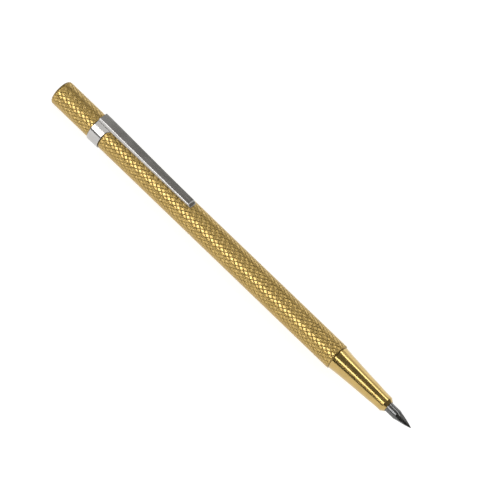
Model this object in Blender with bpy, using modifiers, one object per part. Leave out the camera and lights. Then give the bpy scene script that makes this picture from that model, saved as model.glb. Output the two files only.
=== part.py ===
"""Pocket scriber: a knurled brass handle with a spring clip and a carbide point.

The handle lies along X with its point at +X, on the ground at Z = 0, and the clip stands on top.
Stations are distances in metres along the handle, counted from the flat rear end of the cap.
"""
import math

import bpy
from mathutils import Vector

# Driving dimensions
LENGTH = 0.1400
HANDLE_RADIUS = 0.0040
COLLAR_RADIUS = 0.00435
POINT_RADIUS = 0.0015
SHEET = 0.0004
OUTER_SEGMENTS = 48
INNER_SEGMENTS = 32

# Clearances: between faces that touch, round a threaded joint and round a sliding fit
FACE_GAP = 0.0003
THREAD_GAP = 0.0002
RUNNING_GAP = 0.0001

# A flat of the collar is the lowest surface, and rests on the ground
AXIS_HEIGHT = COLLAR_RADIUS * math.cos(math.pi / OUTER_SEGMENTS)

# Stations of the joins along the handle
COLLAR_START = 0.0152
COLLAR_END = 0.0193
BARREL_END = 0.1117
NOSE_EDGE = 0.1304
NOSE_END = 0.1314
TIP_START = 0.1347

# Rear joint: a stud screwed into the cap and into the barrel
STUD_RADIUS = 0.0024
STUD_START = 0.0068
STUD_END = 0.0280
STUD_SOCKET_RADIUS = 0.0014
STUD_SOCKET_DEPTH = 0.0025
CAP_HOLE_START = 0.0062
REAR_HOLE_END = 0.0295
DRILL_CONE = 0.0012

# Front joint: the nose cone's spigot screwed into the barrel
SPIGOT_RADIUS = 0.0029
SPIGOT_START = 0.1040
SHOULDER = 0.1025
POINT_HOLE_START = 0.1000
NOSE_BASE_RADIUS = 0.00376
NOSE_TIP_RADIUS = 0.00246
NOSE_FACE_RADIUS = 0.00174
NOSE_MOUTH_RADIUS = 0.00162

# Collet: a shank, a thin waist that springs and a tapered head
COLLET_SHANK_RADIUS = 0.00215
COLLET_WAIST_RADIUS = 0.00200
COLLET_HEAD_RADIUS = 0.00230
COLLET_FACE_RADIUS = 0.00200
COLLET_BORE_RADIUS = POINT_RADIUS + RUNNING_GAP
COLLET_START = SHOULDER + FACE_GAP
COLLET_WAIST_START = 0.1090
COLLET_WAIST_END = 0.1225
COLLET_HEAD_START = 0.1240
COLLET_TAPER_START = 0.1255
COLLET_END = 0.1296
SLIT_START = 0.1110
SLIT_WIDTH = 0.0004

# Point
POINT_START = 0.1085

# Clip: the blade's width and the height of its outer face over the handle's axis
BLADE_START = 0.0154
BLADE_STATIONS = (
    # station, width, outer height, depth of the folded sides
    (0.0154, 0.00315, 0.00540, 0.00106),
    (0.0197, 0.00310, 0.00532, 0.00106),
    (0.0217, 0.00308, 0.00528, 0.00120),
    (0.0350, 0.00288, 0.00502, 0.00112),
    (0.0480, 0.00266, 0.00482, 0.00086),
    (0.0508, 0.00262, 0.00477, 0.00078),
    (0.0514, 0.00256, 0.00468, 0.00066),
    (0.0520, 0.00236, 0.00458, 0.00052),
    (0.0523, 0.00200, 0.00453, 0.00046),
)
BLADE_CORNER = 0.00030
BEND_WIDTH = 0.0018
BEND_LENGTH = 0.0026
BEND_TOP = 0.00482


def clear_scene():
    """Remove every object of the scene."""
    for item in list(bpy.data.objects):
        bpy.data.objects.remove(item, do_unlink=True)


def new_collection(name):
    """Add a collection to the scene."""
    group = bpy.data.collections.new(name)
    bpy.context.scene.collection.children.link(group)
    return group


def new_material(name, colour, metallic, roughness):
    """Make one Principled material."""
    material = bpy.data.materials.new(name)
    material.use_nodes = True
    shader = material.node_tree.nodes["Principled BSDF"]
    shader.inputs["Base Color"].default_value = (*colour, 1.0)
    shader.inputs["Metallic"].default_value = metallic
    shader.inputs["Roughness"].default_value = roughness
    return material


def along(station, height=0.0):
    """Give the world position of a station, at a height over the handle's axis."""
    return Vector((station - LENGTH / 2, 0.0, AXIS_HEIGHT + height))


def add_object(name, mesh, group, location):
    """Put a mesh into the scene as a named object."""
    item = bpy.data.objects.new(name, mesh)
    item.location = location
    group.objects.link(item)
    return item


def turned(name, group, origin, profile, segments, hollow=False):
    """Turn a profile of (station, radius) pairs round the handle's axis.

    The profile runs down the outer side from its front end to its rear end. A hollow piece's
    profile comes back along its bore and closes on itself.
    """
    points = [(radius, 0.0, station - origin) for station, radius in profile]
    edges = [(index, index + 1) for index in range(len(points) - 1)]
    if hollow:
        edges.append((len(points) - 1, 0))
    mesh = bpy.data.meshes.new(name)
    mesh.from_pydata(points, edges, [])
    item = add_object(name, mesh, group, along(origin))
    item.rotation_mode = "ZYX"
    # Half a step of turn puts a flat of the piece at the bottom
    item.rotation_euler = (0.0, math.pi / 2, math.pi / segments)
    screw = item.modifiers.new("turn", "SCREW")
    screw.steps = segments
    screw.render_steps = segments
    screw.use_merge_vertices = True
    screw.merge_threshold = 0.00001
    return item


def add_box(name, group, centre, size):
    """Add a block with sides along the world's axes."""
    half = [value / 2 for value in size]
    corners = [
        (half[0] * x, half[1] * y, half[2] * z)
        for x in (-1, 1) for y in (-1, 1) for z in (-1, 1)
    ]
    faces = [(0, 1, 3, 2), (4, 6, 7, 5), (0, 4, 5, 1), (2, 3, 7, 6), (0, 2, 6, 4), (1, 5, 7, 3)]
    mesh = bpy.data.meshes.new(name)
    mesh.from_pydata(corners, [], faces)
    return add_object(name, mesh, group, centre)


def combine(item, other, operation):
    """Add an exact Boolean with another object."""
    boolean = item.modifiers.new(other.name, "BOOLEAN")
    boolean.operation = operation
    boolean.solver = "EXACT"
    boolean.object = other


def shade_round(item):
    """Shade smooth between the sharp edges once the modifiers are applied."""
    bpy.context.view_layer.update()
    graph = bpy.context.evaluated_depsgraph_get()
    mesh = bpy.data.meshes.new_from_object(item.evaluated_get(graph))
    item.modifiers.clear()
    item.data = mesh
    mesh.shade_smooth()
    mesh.set_sharp_from_angle(angle=math.radians(30))


def make_barrel(group):
    """Knurled handle: a bar drilled and tapped at both ends."""
    chamfer = 0.00025
    rear = COLLAR_END + FACE_GAP / 2
    front = BARREL_END - FACE_GAP / 2
    rear_hole = STUD_RADIUS + THREAD_GAP
    front_hole = SPIGOT_RADIUS + THREAD_GAP
    point_hole = POINT_RADIUS + THREAD_GAP
    profile = [
        (POINT_HOLE_START, 0.0),
        (POINT_HOLE_START, point_hole),
        (SHOULDER, point_hole),
        (SHOULDER, front_hole),
        (front, front_hole),
        (front, HANDLE_RADIUS - chamfer),
        (front - chamfer, HANDLE_RADIUS),
        (rear + chamfer, HANDLE_RADIUS),
        (rear, HANDLE_RADIUS - chamfer),
        (rear, rear_hole),
        (REAR_HOLE_END, rear_hole),
        (REAR_HOLE_END + DRILL_CONE, 0.0),
    ]
    return turned("barrel", group, BARREL_END, profile, OUTER_SEGMENTS)


def make_end_cap(group):
    """Knurled cap: blind, tapped from its front face, with a broken rear edge."""
    front = COLLAR_START - FACE_GAP / 2
    hole = STUD_RADIUS + THREAD_GAP
    edge = 0.0008
    profile = [
        (CAP_HOLE_START - DRILL_CONE, 0.0),
        (CAP_HOLE_START, hole),
        (front, hole),
        (front, HANDLE_RADIUS - 0.00025),
        (front - 0.00025, HANDLE_RADIUS),
        (edge, HANDLE_RADIUS),
        (edge * 0.30, HANDLE_RADIUS - edge * 0.30),
        (0.0, HANDLE_RADIUS - edge),
        (0.0, 0.0),
    ]
    return turned("end_cap", group, front, profile, OUTER_SEGMENTS)


def make_cap_stud(group, cutters):
    """Threaded stud that joins the cap to the barrel, with a hexagon socket in its front end."""
    chamfer = 0.0003
    profile = [
        (STUD_END, 0.0),
        (STUD_END, STUD_RADIUS - chamfer),
        (STUD_END - chamfer, STUD_RADIUS),
        (STUD_START + chamfer, STUD_RADIUS),
        (STUD_START, STUD_RADIUS - chamfer),
        (STUD_START, 0.0),
    ]
    stud = turned("cap_stud", group, STUD_START, profile, INNER_SEGMENTS)
    socket_profile = [
        (STUD_END + STUD_SOCKET_DEPTH, 0.0),
        (STUD_END + STUD_SOCKET_DEPTH, STUD_SOCKET_RADIUS),
        (STUD_END - STUD_SOCKET_DEPTH, STUD_SOCKET_RADIUS),
        (STUD_END - STUD_SOCKET_DEPTH, 0.0),
    ]
    socket = turned("stud_socket_cutter", cutters, STUD_END, socket_profile, 6)
    combine(stud, socket, "DIFFERENCE")
    return stud


def make_clip_bush(group):
    """Plain bush round the stud that carries the clip's collar."""
    rear = COLLAR_START + FACE_GAP / 2
    front = COLLAR_END - FACE_GAP / 2
    outer = COLLAR_RADIUS - SHEET - THREAD_GAP
    inner = STUD_RADIUS + THREAD_GAP
    profile = [(front, outer), (rear, outer), (rear, inner), (front, inner)]
    return turned("clip_bush", group, rear, profile, INNER_SEGMENTS, hollow=True)


def make_clip_collar(group, cutters):
    """Sheet sleeve of the clip, with the short bend that the blade grows from."""
    rear = COLLAR_START + FACE_GAP / 2
    front = COLLAR_END - FACE_GAP / 2
    edge = 0.0001
    inner = COLLAR_RADIUS - SHEET
    profile = [
        (front, COLLAR_RADIUS - edge),
        (front - edge, COLLAR_RADIUS),
        (rear + edge, COLLAR_RADIUS),
        (rear, COLLAR_RADIUS - edge),
        (rear, inner),
        (front, inner),
    ]
    collar = turned("clip_collar", group, rear, profile, OUTER_SEGMENTS, hollow=True)
    bend_bottom = COLLAR_RADIUS - SHEET / 2
    bend_height = BEND_TOP - bend_bottom
    bend_centre = along(BLADE_START + BEND_LENGTH / 2 + 0.0001, bend_bottom + bend_height / 2)
    bend = add_box("bend_block", cutters, bend_centre, (BEND_LENGTH, BEND_WIDTH, bend_height))
    combine(collar, bend, "UNION")
    return collar


def blade_section(width, height, depth):
    """Give the (y, z) points of the blade's outer skin, from one folded side to the other."""
    half = width / 2
    bottom = height - depth
    corner = BLADE_CORNER
    return [
        (-half, bottom),
        (-half, height - corner),
        (-half + corner * 0.3, height - corner * 0.3),
        (-half + corner, height),
        (half - corner, height),
        (half - corner * 0.3, height - corner * 0.3),
        (half, height - corner),
        (half, bottom),
    ]


def make_clip_blade(group):
    """Folded blade of the clip: a tapering channel that ends in a lip."""
    pivot = along(BLADE_START, BLADE_STATIONS[0][2] - SHEET)
    points = []
    for station, width, height, depth in BLADE_STATIONS:
        for y, z in blade_section(width, height, depth):
            points.append(along(station, z) + Vector((0.0, y, 0.0)) - pivot)
    columns = len(blade_section(*BLADE_STATIONS[0][1:]))
    faces = []
    for row in range(len(BLADE_STATIONS) - 1):
        for column in range(columns - 1):
            first = row * columns + column
            faces.append((first, first + columns, first + columns + 1, first + 1))
    mesh = bpy.data.meshes.new("clip_blade")
    mesh.from_pydata(points, [], faces)
    blade = add_object("clip_blade", mesh, group, pivot)
    sheet = blade.modifiers.new("sheet", "SOLIDIFY")
    sheet.thickness = SHEET
    sheet.offset = -1.0
    sheet.use_even_offset = True
    return blade


def make_nose_cone(group):
    """Smooth tapered nose with a threaded spigot, bored for the collet."""
    base = BARREL_END + FACE_GAP / 2
    bore = COLLET_HEAD_RADIUS + THREAD_GAP
    taper_end = COLLET_FACE_RADIUS + RUNNING_GAP
    edge = 0.00015
    profile = [
        (NOSE_END, NOSE_FACE_RADIUS),
        (NOSE_EDGE, NOSE_TIP_RADIUS),
        (0.1276, 0.00258),
        (0.1271, 0.00266),
        (0.1250, 0.00274),
        (0.1192, 0.00314),
        (0.1163, 0.00334),
        (0.1134, 0.00358),
        (base + edge, NOSE_BASE_RADIUS),
        (base, NOSE_BASE_RADIUS - edge),
        (base, SPIGOT_RADIUS),
        (SPIGOT_START + 0.0003, SPIGOT_RADIUS),
        (SPIGOT_START, SPIGOT_RADIUS - 0.0003),
        (SPIGOT_START, bore),
        (COLLET_TAPER_START, bore),
        (COLLET_END + FACE_GAP, taper_end),
        (COLLET_END + FACE_GAP, NOSE_MOUTH_RADIUS),
        (NOSE_END, NOSE_MOUTH_RADIUS),
    ]
    return turned("nose_cone", group, base, profile, OUTER_SEGMENTS, hollow=True)


def make_collet(group, cutters):
    """Steel collet, slit in four from its front face back to its shank."""
    profile = [
        (COLLET_END, COLLET_FACE_RADIUS),
        (COLLET_TAPER_START, COLLET_HEAD_RADIUS),
        (COLLET_HEAD_START, COLLET_HEAD_RADIUS),
        (COLLET_WAIST_END, COLLET_WAIST_RADIUS),
        (COLLET_WAIST_START, COLLET_WAIST_RADIUS),
        (COLLET_WAIST_START - 0.0004, COLLET_SHANK_RADIUS),
        (COLLET_START, COLLET_SHANK_RADIUS),
        (COLLET_START, COLLET_BORE_RADIUS),
        (COLLET_END, COLLET_BORE_RADIUS),
    ]
    collet = turned("chuck_collet", group, COLLET_START, profile, INNER_SEGMENTS, hollow=True)
    slit_length = COLLET_END - SLIT_START + 0.0010
    slit_centre = along(SLIT_START + slit_length / 2)
    slit_reach = 4 * COLLET_HEAD_RADIUS
    upright = add_box("slit_cutter_upright", cutters, slit_centre,
                      (slit_length, SLIT_WIDTH, slit_reach))
    level = add_box("slit_cutter_level", cutters, slit_centre,
                    (slit_length, slit_reach, SLIT_WIDTH))
    combine(collet, upright, "DIFFERENCE")
    combine(collet, level, "DIFFERENCE")
    return collet


def make_point(group):
    """Carbide rod with a ground tip that swells slightly towards its shoulder."""
    chamfer = 0.0002
    profile = [
        (LENGTH, 0.0),
        (LENGTH, 0.00009),
        (0.1386, 0.00055),
        (0.1370, 0.00100),
        (0.1356, 0.00134),
        (TIP_START, POINT_RADIUS),
        (POINT_START + chamfer, POINT_RADIUS),
        (POINT_START, POINT_RADIUS - chamfer),
        (POINT_START, 0.0),
    ]
    return turned("carbide_point", group, POINT_START, profile, INNER_SEGMENTS)


def main():
    """Build the scriber."""
    clear_scene()
    scriber = new_collection("scriber")
    cutters = new_collection("cutters")
    barrel = make_barrel(scriber)
    end_cap = make_end_cap(scriber)
    cap_stud = make_cap_stud(scriber, cutters)
    clip_bush = make_clip_bush(scriber)
    clip_collar = make_clip_collar(scriber, cutters)
    clip_blade = make_clip_blade(scriber)
    nose_cone = make_nose_cone(scriber)
    chuck_collet = make_collet(scriber, cutters)
    carbide_point = make_point(scriber)
    brass = (0.72, 0.52, 0.20)
    steel = (0.60, 0.60, 0.62)
    finishes = (
        (barrel, brass, 0.35),
        (end_cap, brass, 0.35),
        (nose_cone, brass, 0.22),
        (clip_bush, brass, 0.40),
        (cap_stud, steel, 0.40),
        (clip_collar, steel, 0.15),
        (clip_blade, steel, 0.20),
        (chuck_collet, (0.36, 0.34, 0.35), 0.40),
        (carbide_point, (0.20, 0.20, 0.21), 0.30),
    )
    for item, colour, roughness in finishes:
        shade_round(item)
        item.data.materials.clear()
        item.data.materials.append(new_material(item.name, colour, 1.0, roughness))
    for cutter in cutters.objects:
        cutter.hide_render = True
        cutter.display_type = "WIRE"


main()
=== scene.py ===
"""Visual model of a pocket scriber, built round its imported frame.

The handle lies along X with its point at +X, and the clip stands on top. Lengths are in metres.
"""

import math

import bmesh
import bpy
import numpy as np
from mathutils import Matrix, Vector


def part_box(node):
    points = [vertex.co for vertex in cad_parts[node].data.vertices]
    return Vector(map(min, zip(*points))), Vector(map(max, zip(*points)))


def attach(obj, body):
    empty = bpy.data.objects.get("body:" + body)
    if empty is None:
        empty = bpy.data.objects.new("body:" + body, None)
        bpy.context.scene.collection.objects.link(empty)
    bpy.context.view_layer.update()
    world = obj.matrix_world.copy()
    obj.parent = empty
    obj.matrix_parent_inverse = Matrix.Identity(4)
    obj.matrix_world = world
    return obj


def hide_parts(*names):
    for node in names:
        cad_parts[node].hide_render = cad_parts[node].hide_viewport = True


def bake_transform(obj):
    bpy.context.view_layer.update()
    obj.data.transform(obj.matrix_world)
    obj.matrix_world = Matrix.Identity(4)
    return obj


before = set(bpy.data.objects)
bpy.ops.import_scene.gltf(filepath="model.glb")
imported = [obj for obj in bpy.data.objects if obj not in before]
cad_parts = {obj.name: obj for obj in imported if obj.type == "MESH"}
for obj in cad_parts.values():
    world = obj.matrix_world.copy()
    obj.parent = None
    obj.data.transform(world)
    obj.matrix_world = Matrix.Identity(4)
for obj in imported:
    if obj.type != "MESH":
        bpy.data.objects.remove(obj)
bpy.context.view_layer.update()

MM = 0.001
TURN = 2 * math.pi

# Places and sizes read from the frame
CAP_LOW, CAP_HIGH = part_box("end_cap")
COLLAR_LOW, COLLAR_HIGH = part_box("clip_collar")
BARREL_LOW, BARREL_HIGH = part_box("barrel")
NOSE_LOW, NOSE_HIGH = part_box("nose_cone")
POINT_LOW, POINT_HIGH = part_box("carbide_point")
STUD_LOW, STUD_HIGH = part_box("cap_stud")
BLADE_LOW, BLADE_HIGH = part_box("clip_blade")

AXIS_Z = (BARREL_LOW.z + BARREL_HIGH.z) / 2
HANDLE_RADIUS = (BARREL_HIGH.y - BARREL_LOW.y) / 2
COLLAR_RADIUS = (COLLAR_HIGH.y - COLLAR_LOW.y) / 2
NOSE_RADIUS = (NOSE_HIGH.y - NOSE_LOW.y) / 2
POINT_RADIUS = (POINT_HIGH.y - POINT_LOW.y) / 2
STUD_RADIUS = (STUD_HIGH.y - STUD_LOW.y) / 2

# The solids keep a gap at each join. The visible pieces close all but a hairline of it.
HAIRLINE = 0.03 * MM
CAP_END = (CAP_HIGH.x + COLLAR_LOW.x) / 2 - HAIRLINE / 2
COLLAR_START = CAP_END + HAIRLINE
COLLAR_END = (COLLAR_HIGH.x + BARREL_LOW.x) / 2 - HAIRLINE / 2
BARREL_START = COLLAR_END + HAIRLINE
BARREL_END = BARREL_HIGH.x - 0.10 * MM
NOSE_START = BARREL_END + HAIRLINE

# Knurl: crossing grooves, so many starts round the handle
KNURL_STARTS = 22
KNURL_PITCH = 1.93 * MM
KNURL_DEPTH = 0.085 * MM
KNURL_STEPS = 6
KNURL_GROOVE = 1 / 6

# Where the collar's front edge curves forward to meet the blade, as angles from the top, and how
# far and how steeply it does
FILLET_START = math.radians(20)
FILLET_END = math.radians(52)
FILLET_LENGTH = 1.0 * MM
FILLET_POWER = 2.5

# Drilled holes: room round what goes in, the drill's cone at the bottom, the chamfer at the mouth
HOLE_ROOM = 0.2 * MM
HOLE_CONE = 1.0 * MM
HOLE_CONE_END = 0.3 * MM
HOLE_CHAMFER = 0.2 * MM

# Threads of the stud and of the nose cone
STUD_PITCH = 0.80 * MM
NOSE_PITCH = 0.75 * MM
THREAD_DEPTH = 0.32 * MM
SPIGOT_RADIUS = 2.90 * MM
THREAD_STEPS = 8


def ring_piece(name, rings, angles, loop=False, leaning=None):
    """Build a closed mesh from rings round the handle's axis.

    Each ring is (x, radius), where both may be one number or one for each angle. The rings run
    from the rear end, out over the surface and on to the front end. With loop they close on
    themselves, and without it each end closes on the axis. The function leaning, if given, says
    which way each cell is folded, so that the folds follow the grooves of the surface.
    """
    count = len(angles)
    sines = np.sin(angles)
    cosines = np.cos(angles)
    points = []
    for x, radius in rings:
        x_all = np.broadcast_to(x, (count,))
        radius_all = np.broadcast_to(radius, (count,))
        points.append(np.stack([x_all, radius_all * sines, AXIS_Z + radius_all * cosines], axis=1))
    points = np.concatenate(points)
    following = (np.arange(count) + 1) % count
    here = np.arange(count)
    faces = []
    total = len(rings)
    for index in range(total if loop else total - 1):
        first = index * count
        second = ((index + 1) % total) * count
        corners = [first + here, second + here, second + following, first + following]
        if leaning is None:
            faces.extend(np.stack(corners, axis=1).tolist())
        else:
            middle = (np.max(rings[index][0]) + np.max(rings[(index + 1) % total][0])) / 2
            lean = leaning(middle, angles + TURN / count / 2)
            turned_corners = [np.where(lean, corners[place - 1], corners[place]) for place in range(4)]
            for places in ((0, 1, 2), (0, 2, 3)):
                faces.extend(np.stack([turned_corners[place] for place in places], axis=1).tolist())
    if not loop:
        last = (total - 1) * count
        rear_pole = total * count
        poles = [[rings[0][0], 0.0, AXIS_Z], [rings[-1][0], 0.0, AXIS_Z]]
        points = np.concatenate([points, poles])
        faces.extend(np.stack([np.full(count, rear_pole), here, following], axis=1).tolist())
        faces.extend(
            np.stack([np.full(count, rear_pole + 1), last + following, last + here], axis=1).tolist()
        )
    mesh = bpy.data.meshes.new(name)
    mesh.from_pydata(points.tolist(), [], faces)
    item = bpy.data.objects.new(name, mesh)
    bpy.context.scene.collection.objects.link(item)
    return item


def smooth(item, sharp_degrees):
    """Shade smooth up to an angle."""
    item.data.shade_smooth()
    item.data.set_sharp_from_angle(angle=math.radians(sharp_degrees))


def even_angles(count):
    """Give evenly spaced angles round the axis."""
    return np.arange(count) * TURN / count


# ---------------------------------------------------------------- knurled pieces

def groove_cuts(x, angles):
    """Give how deep the left-hand and the right-hand grooves cut at one X, from 0 to 1."""
    along = x / KNURL_PITCH
    around = KNURL_STARTS * angles / TURN
    cuts = []
    for phase in (around + along, around - along):
        off_centre = np.abs((phase + 0.5) % 1.0 - 0.5)
        cuts.append(np.clip(1.0 - off_centre / KNURL_GROOVE, 0.0, 1.0))
    return cuts


def right_hand_cell(x, angles):
    """Say which cells of the surface belong to a right-hand groove."""
    left, right = groove_cuts(x, angles)
    return left > right


def knurl_stations(start, end, extra):
    """Give the X of each ring: the knurl's own lattice, and extra ones where an edge is cut."""
    step = KNURL_PITCH / KNURL_STEPS
    least = 0.2 * step
    first = math.ceil(start / step)
    last = math.floor(end / step)
    lattice = [index * step for index in range(first, last + 1)]
    everything = sorted(lattice + list(extra))
    kept = [everything[0]]
    for x in everything[1:]:
        if x - kept[-1] > least:
            kept.append(x)
    kept[0] = start
    kept[-1] = end
    return kept


def knurled_rings(start, end, envelope, extra):
    """Give the rings of a knurled surface inside an envelope of radius over X."""
    angles = even_angles(KNURL_STARTS * KNURL_STEPS)
    rings = []
    for x in knurl_stations(start, end, extra):
        cut = HANDLE_RADIUS - KNURL_DEPTH * np.maximum(*groove_cuts(x, angles))
        rings.append((x, np.minimum(cut, envelope(x))))
    return rings, angles


def mark_grooves(item):
    """Store how deep each vertex of a knurled surface lies, for its material."""
    points = np.array([vertex.co for vertex in item.data.vertices])
    radius = np.hypot(points[:, 1], points[:, 2] - AXIS_Z)
    depth = np.clip((HANDLE_RADIUS - radius) / KNURL_DEPTH, 0.0, 1.0)
    attribute = item.data.attributes.new("groove", "FLOAT", "POINT")
    attribute.data.foreach_set("value", depth.astype(np.float32))


def make_barrel():
    """Knurled handle with a small chamfer and a drilled hole at each end."""
    chamfer = 0.22 * MM
    start = BARREL_START
    end = BARREL_END

    def envelope(x):
        return HANDLE_RADIUS - max(0.0, chamfer - min(x - start, end - x))

    extra = [start, start + chamfer, end - chamfer, end]
    rings, angles = knurled_rings(start, end, envelope, extra)
    rear_hole = STUD_RADIUS + HOLE_ROOM
    rear_hole_end = STUD_HIGH.x + 1.5 * MM
    rear = [
        (rear_hole_end + HOLE_CONE, HOLE_CONE_END),
        (rear_hole_end, rear_hole),
        (start + HOLE_CHAMFER, rear_hole),
        (start, rear_hole + HOLE_CHAMFER),
    ]
    front_hole = SPIGOT_RADIUS + HOLE_ROOM
    front_hole_end = NOSE_LOW.x - 1.5 * MM
    point_hole = POINT_RADIUS + HOLE_ROOM
    point_hole_end = NOSE_LOW.x - 4.0 * MM
    front = [
        (end, front_hole + HOLE_CHAMFER),
        (end - HOLE_CHAMFER, front_hole),
        (front_hole_end, front_hole),
        (front_hole_end, point_hole),
        (point_hole_end, point_hole),
    ]
    barrel = ring_piece("knurled_barrel", rear + rings + front, angles, leaning=right_hand_cell)
    smooth(barrel, 25)
    mark_grooves(barrel)
    return barrel


def make_end_cap():
    """Knurled cap with a rounded rear edge, a flat rear face and a tapped hole in front."""
    edge = 0.85 * MM
    chamfer = 0.20 * MM
    start = CAP_LOW.x
    end = CAP_END

    def envelope(x):
        radius = HANDLE_RADIUS - max(0.0, chamfer - (end - x))
        if x - start < edge:
            radius = HANDLE_RADIUS - edge + math.sqrt(edge ** 2 - (edge - (x - start)) ** 2)
        return radius

    arc = [start + edge * (1 - math.cos(math.radians(a))) for a in range(0, 91, 15)]
    rings, angles = knurled_rings(start, end, envelope, arc + [end - chamfer, end])
    face = [(start, share * (HANDLE_RADIUS - edge)) for share in (0.1, 0.3, 0.6, 0.9)]
    hole = STUD_RADIUS + HOLE_ROOM
    hole_end = STUD_LOW.x - 0.5 * MM
    front = [
        (end, hole + HOLE_CHAMFER),
        (end - HOLE_CHAMFER, hole),
        (hole_end, hole),
        (hole_end - HOLE_CONE, HOLE_CONE_END),
    ]
    cap = ring_piece("knurled_cap", face + rings + front, angles, leaning=right_hand_cell)
    smooth(cap, 25)
    mark_grooves(cap)
    return cap


# ---------------------------------------------------------------- threads

def threaded_rings(start, end, crest, pitch, angles):
    """Give the rings of an outside thread between two X, fading in at both ends.

    Its ridge is cut flat at the crest and at the root.
    """
    slope = 1.5
    below_root = 0.25
    step = pitch / THREAD_STEPS
    count = round((end - start) / step)
    root = crest - THREAD_DEPTH
    rings = []
    for index in range(count + 1):
        x = start + (end - start) * index / count
        phase = (x / pitch + angles / TURN) % 1.0
        rise = slope * (1.0 - np.abs(2.0 * phase - 1.0)) - below_root
        ridge = np.clip(rise, 0.0, 1.0)
        fade = min(1.0, min(x - start, end - x) / pitch)
        rings.append((x, root + THREAD_DEPTH * ridge * fade))
    return rings


def make_cap_stud():
    """Threaded stud with a hexagon socket in its front end."""
    angles = even_angles(60)
    start = STUD_LOW.x
    end = STUD_HIGH.x
    rear_face = 0.8 * MM
    front_face = 1.5 * MM
    chamfer = 0.1 * MM
    side = TURN / 6
    half_across = 1.25 * MM
    socket = half_across / np.cos((angles + side / 2) % side - side / 2)
    socket_end = end - 2.4 * MM
    rings = threaded_rings(start, end, STUD_RADIUS, STUD_PITCH, angles)
    rear = [(start, rear_face)]
    front = [(end, front_face), (end - chamfer, socket), (socket_end, socket)]
    stud = ring_piece("threaded_stud", rear + rings + front, angles)
    smooth(stud, 40)
    return stud


# ---------------------------------------------------------------- nose, point

def make_nose_cone():
    """Smooth tapered nose with a fine step and a chamfer near its end, and a threaded spigot."""
    angles = even_angles(120)
    base = NOSE_START
    end = NOSE_HIGH.x
    shoulder = end - 1.0 * MM
    tip = 2.46 * MM
    face = 1.74 * MM
    mouth = 1.62 * MM
    mouth_depth = 1.5 * MM
    bore = 2.45 * MM
    taper_start = end - 5.9 * MM
    taper_end = 2.10 * MM
    outline = [
        (base, SPIGOT_RADIUS - THREAD_DEPTH),
        (base, NOSE_RADIUS - 0.12 * MM),
        (base + 0.04 * MM, NOSE_RADIUS - 0.04 * MM),
        (base + 0.12 * MM, NOSE_RADIUS),
        (base + 1.5 * MM, 3.600 * MM),
        (base + 2.9 * MM, 3.470 * MM),
        (base + 4.3 * MM, 3.355 * MM),
        (base + 7.3 * MM, 3.140 * MM),
        (base + 10.3 * MM, 2.930 * MM),
        (base + 13.1 * MM, 2.770 * MM),
        (base + 15.04 * MM, 2.660 * MM),
        (base + 15.08 * MM, 2.620 * MM),
        (base + 15.18 * MM, 2.600 * MM),
        (base + 15.28 * MM, 2.590 * MM),
        (base + 16.3 * MM, 2.545 * MM),
        (base + 17.3 * MM, 2.500 * MM),
        (shoulder - 0.08 * MM, tip + 0.005 * MM),
        (shoulder, tip - 0.02 * MM),
        (shoulder + 0.08 * MM, tip - 0.085 * MM),
        (end - 0.05 * MM, face + 0.03 * MM),
        (end, face - 0.03 * MM),
        (end, mouth),
        (end - mouth_depth, mouth),
        (end - mouth_depth, taper_end),
        (taper_start, bore),
        (NOSE_LOW.x, bore),
    ]
    thread_end = base - 0.4 * MM
    rings = threaded_rings(NOSE_LOW.x, thread_end, SPIGOT_RADIUS, NOSE_PITCH, angles)
    nose = ring_piece("nose", rings + outline, angles, loop=True)
    smooth(nose, 12)
    return nose


def make_point():
    """Carbide rod with a ground tip, slightly swollen and flattened in facets."""
    angles = even_angles(96)
    facet = TURN / 6
    end = POINT_HIGH.x
    shoulder = end - 5.3 * MM
    chamfer = 0.25 * MM
    blunt_radius = 0.12 * MM
    swell = 0.71
    facet_strength = 0.85
    facet_fade = 5
    edge_rounding = 1.04
    offset = (angles + facet / 2) % facet - facet / 2
    flat = np.cos(facet / 2) / np.cos(offset)
    steps = 14
    rings = [
        (POINT_LOW.x, POINT_RADIUS - chamfer),
        (POINT_LOW.x + chamfer, POINT_RADIUS),
        (shoulder - 0.02 * MM, POINT_RADIUS),
    ]
    for index in range(steps + 1):
        share = index / steps
        round_radius = POINT_RADIUS * (1 - share) ** swell
        ground = min(1.0, share * facet_fade) * facet_strength
        radius = round_radius * (1 - ground + ground * np.minimum(1.0, flat * edge_rounding))
        radius = np.maximum(radius, blunt_radius)
        rings.append((shoulder + share * (end - shoulder), radius))
    point = ring_piece("ground_point", rings, angles)
    smooth(point, 12)
    return point


# ---------------------------------------------------------------- clip

def make_collar():
    """Smooth sheet sleeve of the clip, whose front edge runs forward into the blade's sides."""
    angles = even_angles(180)
    edge = 0.10 * MM
    slant = 0.3 * edge
    band = 1.4 * edge
    wall = 0.33 * MM
    inner = COLLAR_RADIUS - wall
    off_top = np.abs((angles + TURN / 2) % TURN - TURN / 2)
    share = np.clip((FILLET_END - off_top) / (FILLET_END - FILLET_START), 0.0, 1.0)
    front = COLLAR_END + FILLET_LENGTH * share ** FILLET_POWER
    outline = [
        (COLLAR_START, inner),
        (COLLAR_START, COLLAR_RADIUS - edge),
        (COLLAR_START + slant, COLLAR_RADIUS - slant),
        (COLLAR_START + edge, COLLAR_RADIUS),
        (COLLAR_START + band, COLLAR_RADIUS),
        (front - band, COLLAR_RADIUS),
        (front - edge, COLLAR_RADIUS),
        (front - slant, COLLAR_RADIUS - slant),
        (front, COLLAR_RADIUS - edge),
        (front, inner),
    ]
    collar = ring_piece("collar", outline, angles, loop=True)
    add_neck(collar)
    smooth(collar, 50)
    return collar


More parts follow.
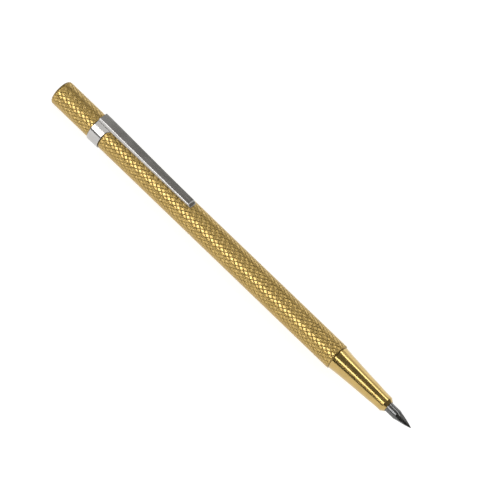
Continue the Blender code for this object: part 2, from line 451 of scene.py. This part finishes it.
def add_neck(collar):
    """Add the upright neck of sheet that joins the collar to the blade."""
    work = bmesh.new()
    work.from_mesh(collar.data)
    half = BLADE_HIGH.y - 0.42 * MM
    low = AXIS_Z + COLLAR_RADIUS - 0.25 * MM
    high = BLADE_HIGH.z - 0.36 * MM
    rear = BLADE_LOW.x + 0.04 * MM
    length = 2.4 * MM
    rounding = 0.08 * MM
    made = bmesh.ops.create_cube(work, size=1.0)
    size = Vector((length, 2 * half, high - low))
    centre = Vector((rear + size.x / 2, 0.0, (high + low) / 2))
    bmesh.ops.scale(work, vec=size, verts=made["verts"])
    bmesh.ops.translate(work, vec=centre, verts=made["verts"])
    rims = [edge for edge in work.edges if edge.verts[0] in made["verts"]]
    bmesh.ops.bevel(work, geom=rims, offset=rounding, segments=2, affect="EDGES")
    work.to_mesh(collar.data)
    work.free()


def blade_path(width, top, depth, sheet, corner):
    """Give the outer and the inner (y, z) path of the blade's folded section."""
    half = width / 2
    bends = 5
    outer = [(-half, top - depth)]
    inner = [(-half + sheet, top - depth)]
    inner_corner = 0.05 * MM
    for side in (-1, 1):
        for step in range(bends + 1):
            turn = math.radians(90 * (step / bends if side < 0 else 1 - step / bends))
            y = side * (half - corner + corner * math.cos(turn))
            z = top - corner + corner * math.sin(turn)
            outer.append((y, z))
            y = side * (half - sheet - inner_corner + inner_corner * math.cos(turn))
            z = max(top - sheet - inner_corner + inner_corner * math.sin(turn), top - depth)
            inner.append((y, z))
    outer.append((half, top - depth))
    inner.append((half - sheet, top - depth))
    return outer, inner


def make_blade():
    """Folded blade of the clip: a tapering channel that ends in a lip bent down to the handle."""
    corner = 0.15 * MM
    rows = (
        # distance along, width, height over the axis, depth of the folded sides, thickness
        (0.00, 3.15, 5.37, 1.14, 0.36),
        (0.06, 3.15, 5.40, 1.20, 0.38),
        (0.12, 3.15, 5.40, 1.20, 0.38),
        (2.00, 3.13, 5.39, 1.22, 0.38),
        (4.00, 3.10, 5.36, 1.24, 0.38),
        (5.20, 3.09, 5.34, 1.22, 0.38),
        (7.00, 3.06, 5.30, 1.20, 0.38),
        (12.0, 2.99, 5.18, 1.20, 0.38),
        (20.0, 2.88, 5.00, 1.12, 0.38),
        (28.0, 2.78, 4.86, 0.96, 0.38),
        (34.6, 2.70, 4.78, 0.82, 0.38),
        (35.6, 2.68, 4.77, 0.78, 0.38),
        (35.75, 2.68, 4.76, 0.76, 0.38),
        (35.90, 2.67, 4.73, 0.72, 0.38),
        (36.05, 2.66, 4.66, 0.64, 0.36),
        (36.22, 2.62, 4.54, 0.52, 0.34),
        (36.42, 2.54, 4.37, 0.37, 0.28),
        (36.60, 2.42, 4.22, 0.26, 0.18),
        (36.72, 2.28, 4.17, 0.22, 0.13),
        (36.82, 2.10, 4.15, 0.20, 0.12),
    )
    points = []
    faces = []
    for index, (distance, *section) in enumerate(rows):
        width, top, depth, sheet = [value * MM for value in section]
        outer, inner = blade_path(width, top, depth, sheet, min(corner, 0.8 * depth))
        path = outer + inner[::-1]
        count = len(path)
        for y, z in path:
            points.append((BLADE_LOW.x + distance * MM, y, AXIS_Z + z))
        if index:
            first = (index - 1) * count
            for place in range(count):
                after = (place + 1) % count
                ahead = first + count
                faces.append((first + place, ahead + place, ahead + after, first + after))
    half = count // 2
    last = (len(rows) - 1) * count
    for place in range(half - 1):
        outer_next = place + 1
        inner_here = count - 1 - place
        faces.append((place, outer_next, inner_here - 1, inner_here))
        faces.append((last + outer_next, last + place, last + inner_here, last + inner_here - 1))
    mesh = bpy.data.meshes.new("blade")
    mesh.from_pydata(points, [], faces)
    blade = bpy.data.objects.new("blade", mesh)
    bpy.context.scene.collection.objects.link(blade)
    smooth(blade, 40)
    return blade


# ---------------------------------------------------------------- materials

def start_material(name, metallic):
    """Make a Principled material and return it with its node tree and shader."""
    material = bpy.data.materials.new(name)
    material.use_nodes = True
    tree = material.node_tree
    shader = tree.nodes["Principled BSDF"]
    shader.inputs["Metallic"].default_value = metallic
    return material, tree, shader


def add_noise(tree, scale, stretch=(1.0, 1.0, 1.0), detail=4.0):
    """Add noise in object coordinates, with its scale in features per metre."""
    coordinates = tree.nodes.new("ShaderNodeTexCoord")
    mapping = tree.nodes.new("ShaderNodeMapping")
    mapping.inputs["Scale"].default_value = stretch
    noise = tree.nodes.new("ShaderNodeTexNoise")
    noise.inputs["Scale"].default_value = scale
    noise.inputs["Detail"].default_value = detail
    tree.links.new(coordinates.outputs["Object"], mapping.inputs["Vector"])
    tree.links.new(mapping.outputs["Vector"], noise.inputs["Vector"])
    return noise.outputs["Fac"]


def add_range(tree, value, low, high, from_low=0.3, from_high=0.7):
    """Map a value onto a range."""
    node = tree.nodes.new("ShaderNodeMapRange")
    node.inputs["From Min"].default_value = from_low
    node.inputs["From Max"].default_value = from_high
    node.inputs["To Min"].default_value = low
    node.inputs["To Max"].default_value = high
    tree.links.new(value, node.inputs["Value"])
    return node.outputs["Result"]


def add_mix(tree, share, first, second):
    """Mix two colours, each a triple or a socket."""
    node = tree.nodes.new("ShaderNodeMix")
    node.data_type = "RGBA"
    tree.links.new(share, node.inputs["Factor"])
    for place, colour in (("A", first), ("B", second)):
        socket = next(s for s in node.inputs if s.name == place and s.type == "RGBA")
        if isinstance(colour, tuple):
            socket.default_value = (*colour, 1.0)
        else:
            tree.links.new(colour, socket)
    return next(s for s in node.outputs if s.type == "RGBA")


def add_bump(tree, shader, height, distance, strength=1.0):
    """Bump the shader's normal by a height."""
    node = tree.nodes.new("ShaderNodeBump")
    node.inputs["Distance"].default_value = distance
    node.inputs["Strength"].default_value = strength
    tree.links.new(height, node.inputs["Height"])
    tree.links.new(node.outputs["Normal"], shader.inputs["Normal"])


def add_lacquer(shader, weight, roughness):
    """Lay a thin clear lacquer over a metal."""
    shader.inputs["Coat Weight"].default_value = weight
    shader.inputs["Coat Roughness"].default_value = roughness


def set_colour(tree, shader, share, first, second):
    """Let the metal's colour run between two colours by a share from noise."""
    colour = add_mix(tree, add_range(tree, share, 0.0, 1.0), first, second)
    tree.links.new(colour, shader.inputs["Base Color"])


def set_roughness(tree, shader, share, low, high):
    """Let the roughness run between two values by a share from noise."""
    tree.links.new(add_range(tree, share, low, high), shader.inputs["Roughness"])


def knurled_brass():
    """Lacquered brass, blotched on its crests, whose grooves are darker and duller."""
    pale_crest = (0.58, 0.40, 0.12)
    deep_crest = (0.50, 0.34, 0.095)
    stain = (0.30, 0.19, 0.045)
    groove_bottom = (0.20, 0.125, 0.03)
    material, tree, shader = start_material("knurled_brass", 1.0)
    groove = tree.nodes.new("ShaderNodeAttribute")
    groove.attribute_name = "groove"
    patches = add_noise(tree, 260.0)
    blotches = add_noise(tree, 1500.0, detail=3.0)
    grain = add_noise(tree, 5200.0, detail=2.0)
    clean = add_mix(tree, add_range(tree, patches, 0.0, 1.0), pale_crest, deep_crest)
    stained = add_range(tree, blotches, 0.0, 0.45, from_low=0.42, from_high=0.68)
    crest = add_mix(tree, stained, clean, stain)
    depth = add_range(tree, groove.outputs["Fac"], 0.0, 0.70, from_low=0.25, from_high=1.0)
    colour = add_mix(tree, depth, crest, groove_bottom)
    tree.links.new(colour, shader.inputs["Base Color"])
    roughness = add_range(tree, groove.outputs["Fac"], 0.33, 0.45, from_low=0.0, from_high=1.0)
    tree.links.new(roughness, shader.inputs["Roughness"])
    add_bump(tree, shader, grain, 0.00002, 0.6)
    add_lacquer(shader, 0.6, 0.2)
    return material


def turned_brass():
    """Lacquered smooth brass with the fine rings that a lathe leaves."""
    material, tree, shader = start_material("turned_brass", 1.0)
    rings = add_noise(tree, 9000.0, stretch=(1.0, 0.004, 0.004), detail=3.0)
    set_colour(tree, shader, add_noise(tree, 300.0), (0.55, 0.38, 0.115), (0.48, 0.325, 0.09))
    set_roughness(tree, shader, rings, 0.13, 0.24)
    add_bump(tree, shader, rings, 0.000006, 0.5)
    add_lacquer(shader, 1.0, 0.12)
    return material


def bright_steel():
    """Polished sheet steel with faint scratches along it."""
    material, tree, shader = start_material("bright_steel", 1.0)
    scratches = add_noise(tree, 5000.0, stretch=(0.03, 1.0, 1.0), detail=3.0)
    set_colour(tree, shader, add_noise(tree, 220.0), (0.54, 0.53, 0.52), (0.48, 0.47, 0.46))
    set_roughness(tree, shader, scratches, 0.12, 0.24)
    add_bump(tree, shader, scratches, 0.000004, 0.4)
    return material


def dark_steel():
    """Hardened steel, darkened by heat."""
    material, tree, shader = start_material("dark_steel", 1.0)
    mottle = add_noise(tree, 2500.0)
    set_colour(tree, shader, mottle, (0.10, 0.075, 0.06), (0.16, 0.125, 0.10))
    set_roughness(tree, shader, mottle, 0.34, 0.5)
    add_bump(tree, shader, mottle, 0.00001, 0.4)
    return material


def thread_steel():
    """Plain steel of a threaded stud."""
    material, tree, shader = start_material("thread_steel", 1.0)
    mottle = add_noise(tree, 1800.0)
    set_colour(tree, shader, mottle, (0.42, 0.42, 0.43), (0.54, 0.53, 0.52))
    set_roughness(tree, shader, mottle, 0.28, 0.42)
    return material


def ground_carbide():
    """Dark grey carbide with fine grinding lines."""
    material, tree, shader = start_material("ground_carbide", 1.0)
    lines = add_noise(tree, 7000.0, stretch=(1.0, 0.06, 0.06), detail=3.0)
    set_colour(tree, shader, lines, (0.10, 0.10, 0.10), (0.18, 0.18, 0.18))
    set_roughness(tree, shader, lines, 0.14, 0.26)
    add_bump(tree, shader, lines, 0.000005, 0.4)
    return material


def pale_floor():
    """White acrylic for the floor and the wall, lit from within."""
    material, _, shader = start_material("pale_floor", 0.0)
    shader.inputs["Base Color"].default_value = (0.50, 0.50, 0.50, 1.0)
    shader.inputs["Roughness"].default_value = 0.9
    shader.inputs["Specular IOR Level"].default_value = 0.1
    shader.inputs["Emission Color"].default_value = (1.0, 1.0, 1.0, 1.0)
    shader.inputs["Emission Strength"].default_value = 0.80
    return material


def paint(item, material):
    """Give an object one material, on its slots and on its mesh."""
    if item.data.materials:
        for place in range(len(item.material_slots)):
            item.material_slots[place].link = "OBJECT"
            item.material_slots[place].material = material
    else:
        item.data.materials.append(material)


# ---------------------------------------------------------------- camera and light

# Direction from the object to the camera, and how far below level the handle points in the picture
VIEW_AZIMUTH = math.radians(20.46)
VIEW_ELEVATION = math.radians(48.16)
HANDLE_DROP = math.radians(43.80)
# Width of the view at the handle
PICTURE_WIDTH = 0.140056
LENS = 300.0
SENSOR = 36.0
# Where the handle's middle lies in the picture, from the picture's centre, to the right and up
MIDDLE_RIGHT = -0.00474
MIDDLE_UP = -0.00202
# Each row: name, x, degrees round the handle, distance, length, width, radiance
SOFTBOXES = (
    ("main_softbox", -0.30, 32.0, 1.0, 0.36, 0.56, 6.2),
    ("nose_strip_front", 0.05, 41.0, 1.0, 0.30, 0.14, 5.0),
    ("nose_strip_back", 0.13, 107.0, 1.0, 0.66, 0.16, 4.6),
    ("nose_fill_back", 0.07, 131.0, 1.0, 0.46, 0.62, 0.60),
    ("fill_above", -0.34, 79.0, 1.0, 0.36, 1.10, 0.80),
    ("rear_fill", -0.50, 130.0, 1.0, 0.40, 0.50, 0.25),
    ("back_panel", 0.0, 162.0, 1.2, 1.60, 0.80, 1.1),
)
# The floor lies just under the object, and a round wall stands far off
FLOOR_Z = -0.1 * MM
FLOOR_REACH = 6.0
WALL_RADIUS = 5.8
WALL_HEIGHT = 4.0
WALL_PANELS = 64
# Strength of the surround near the horizon and high up, and the heights between which it changes
SURROUND_LOW = 0.03
SURROUND_HIGH = 0.165
SURROUND_FROM = 0.12
SURROUND_TO = 0.36


def view_axes():
    """Give the camera's right, up and backward directions."""
    back = Vector((
        math.sin(VIEW_AZIMUTH) * math.cos(VIEW_ELEVATION),
        -math.cos(VIEW_AZIMUTH) * math.cos(VIEW_ELEVATION),
        math.sin(VIEW_ELEVATION),
    ))
    handle = Vector((1.0, 0.0, 0.0))
    along = (handle - back * handle.dot(back)).normalized()
    across = back.cross(along)
    right = along * math.cos(HANDLE_DROP) + across * math.sin(HANDLE_DROP)
    up = across * math.cos(HANDLE_DROP) - along * math.sin(HANDLE_DROP)
    return right, up, back


def make_camera():
    """Camera over the handle's near side, with a long lens, so that the point is lower right."""
    right, up, back = view_axes()
    middle = Vector(((CAP_LOW.x + POINT_HIGH.x) / 2, 0.0, AXIS_Z))
    target = middle - right * MIDDLE_RIGHT - up * MIDDLE_UP
    data = bpy.data.cameras.new("camera")
    data.lens = LENS
    data.sensor_width = SENSOR
    distance = PICTURE_WIDTH * LENS / SENSOR
    data.clip_start = 0.01
    data.clip_end = 50.0
    camera = bpy.data.objects.new("camera", data)
    bpy.context.scene.collection.objects.link(camera)
    axes = Matrix((right, up, back)).transposed()
    camera.matrix_world = Matrix.Translation(target + back * distance) @ axes.to_4x4()
    bpy.context.scene.camera = camera


def softbox(name, x, degrees, distance, length, width, radiance):
    """Area light over the handle, so many degrees round its axis from level on the camera's side."""
    turn = math.radians(degrees)
    away = Vector((0.0, -math.cos(turn), math.sin(turn)))
    place = Vector((x, 0.0, AXIS_Z)) + away * distance
    data = bpy.data.lights.new(name, "AREA")
    data.shape = "RECTANGLE"
    data.size = length
    data.size_y = width
    data.energy = radiance * math.pi * length * width
    light = bpy.data.objects.new(name, data)
    bpy.context.scene.collection.objects.link(light)
    side = Vector((1.0, 0.0, 0.0))
    axes = Matrix((side, away.cross(side), away)).transposed()
    light.matrix_world = Matrix.Translation(place) @ axes.to_4x4()
    light.visible_camera = False


def studio_piece(name, points, faces):
    """Make a pale piece of the studio, which isn't part of the object."""
    mesh = bpy.data.meshes.new(name)
    mesh.from_pydata(points, [], faces)
    item = bpy.data.objects.new(name, mesh)
    bpy.context.scene.collection.objects.link(item)
    paint(item, pale_floor())
    return item


def make_backdrop():
    """Pale wall all round, far off, that is seen directly but not in reflections."""
    points = []
    faces = []
    for index in range(WALL_PANELS):
        turn = TURN * index / WALL_PANELS
        x = WALL_RADIUS * math.cos(turn)
        y = WALL_RADIUS * math.sin(turn)
        points += [(x, y, FLOOR_Z), (x, y, WALL_HEIGHT)]
        here = 2 * index
        after = 2 * ((index + 1) % WALL_PANELS)
        faces.append((here, here + 1, after + 1, after))
    backdrop = studio_piece("backdrop", points, faces)
    backdrop.visible_glossy = False
    backdrop.visible_diffuse = False
    backdrop.visible_shadow = False


def make_floor():
    """Plain white floor."""
    reach = FLOOR_REACH
    corners = [(-reach, -reach, 0.0), (reach, -reach, 0.0), (reach, reach, 0.0), (-reach, reach, 0.0)]
    floor = studio_piece("floor", corners, [(0, 1, 2, 3)])
    floor.location.z = FLOOR_Z


def make_surround():
    """Faint warm light from all round, weaker near the horizon."""
    world = bpy.data.worlds.new("surround")
    world.use_nodes = True
    tree = world.node_tree
    background = tree.nodes["Background"]
    background.inputs["Color"].default_value = (1.0, 0.97, 0.87, 1.0)
    coordinates = tree.nodes.new("ShaderNodeTexCoord")
    direction = tree.nodes.new("ShaderNodeSeparateXYZ")
    tree.links.new(coordinates.outputs["Generated"], direction.inputs["Vector"])
    strength = add_range(
        tree, direction.outputs["Z"], SURROUND_LOW, SURROUND_HIGH, SURROUND_FROM, SURROUND_TO
    )
    tree.links.new(strength, background.inputs["Strength"])
    bpy.context.scene.world = world


def make_studio():
    """White floor and wall, softboxes and a faint surround."""
    make_backdrop()
    make_floor()
    for row in SOFTBOXES:
        softbox(*row)
    make_surround()
    bpy.context.scene.view_settings.view_transform = "Standard"


# ---------------------------------------------------------------- assembly

def place_piece(item, node, body, material):
    """Put a visible piece in the place of a CAD node, on its body."""
    paint(item, material)
    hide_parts(node)
    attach(item, body)


def main():
    """Build every visible piece, then the studio and the camera."""
    brass_knurl = knurled_brass()
    brass_turned = turned_brass()
    steel_bright = bright_steel()
    place_piece(make_barrel(), "barrel", "handle", brass_knurl)
    place_piece(make_end_cap(), "end_cap", "cap", brass_knurl)
    place_piece(make_cap_stud(), "cap_stud", "cap", thread_steel())
    place_piece(make_nose_cone(), "nose_cone", "nose", brass_turned)
    place_piece(make_point(), "carbide_point", "point", ground_carbide())
    place_piece(make_collar(), "clip_collar", "clip_ring", steel_bright)
    blade = make_blade()
    paint(blade, steel_bright)
    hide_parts("clip_blade")
    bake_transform(blade)
    paint(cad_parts["chuck_collet"], dark_steel())
    paint(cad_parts["clip_bush"], brass_turned)
    make_camera()
    make_studio()


main()
